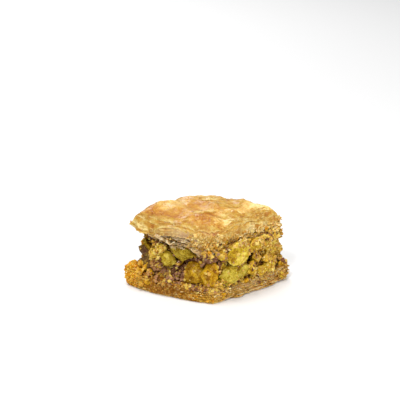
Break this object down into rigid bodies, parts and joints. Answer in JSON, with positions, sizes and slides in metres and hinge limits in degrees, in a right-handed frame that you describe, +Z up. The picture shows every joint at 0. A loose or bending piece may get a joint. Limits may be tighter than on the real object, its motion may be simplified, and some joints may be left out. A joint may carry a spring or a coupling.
{
  "type": "baklava piece",
  "caption": "Diamond-cut pistachio baklava: a syrup-soaked pastry base, a thick band of chopped pistachios and a domed lid of crisp flaky leaves.",
  "frame": {"origin": "middle of the flat underside, where the piece rests", "axes": "+X along the long diagonal towards the right corner, +Y along the short diagonal towards the back corner, +Z up"},
  "size_m": [0.0682, 0.054, 0.0345],
  "materials": {
    "soaked_pastry": "syrup-soaked amber pastry, glossy",
    "pistachio": "chopped green and yellow nuts with purple skins, lightly glazed",
    "crisp_pastry": "golden baked leaves, satin with a syrup sheen"
  },
  "bodies": {
    "root": {"pastry_base": "soaked_pastry", "pistachio_filling": "pistachio", "pastry_lid": "crisp_pastry"}
  },
  "joints": []
}
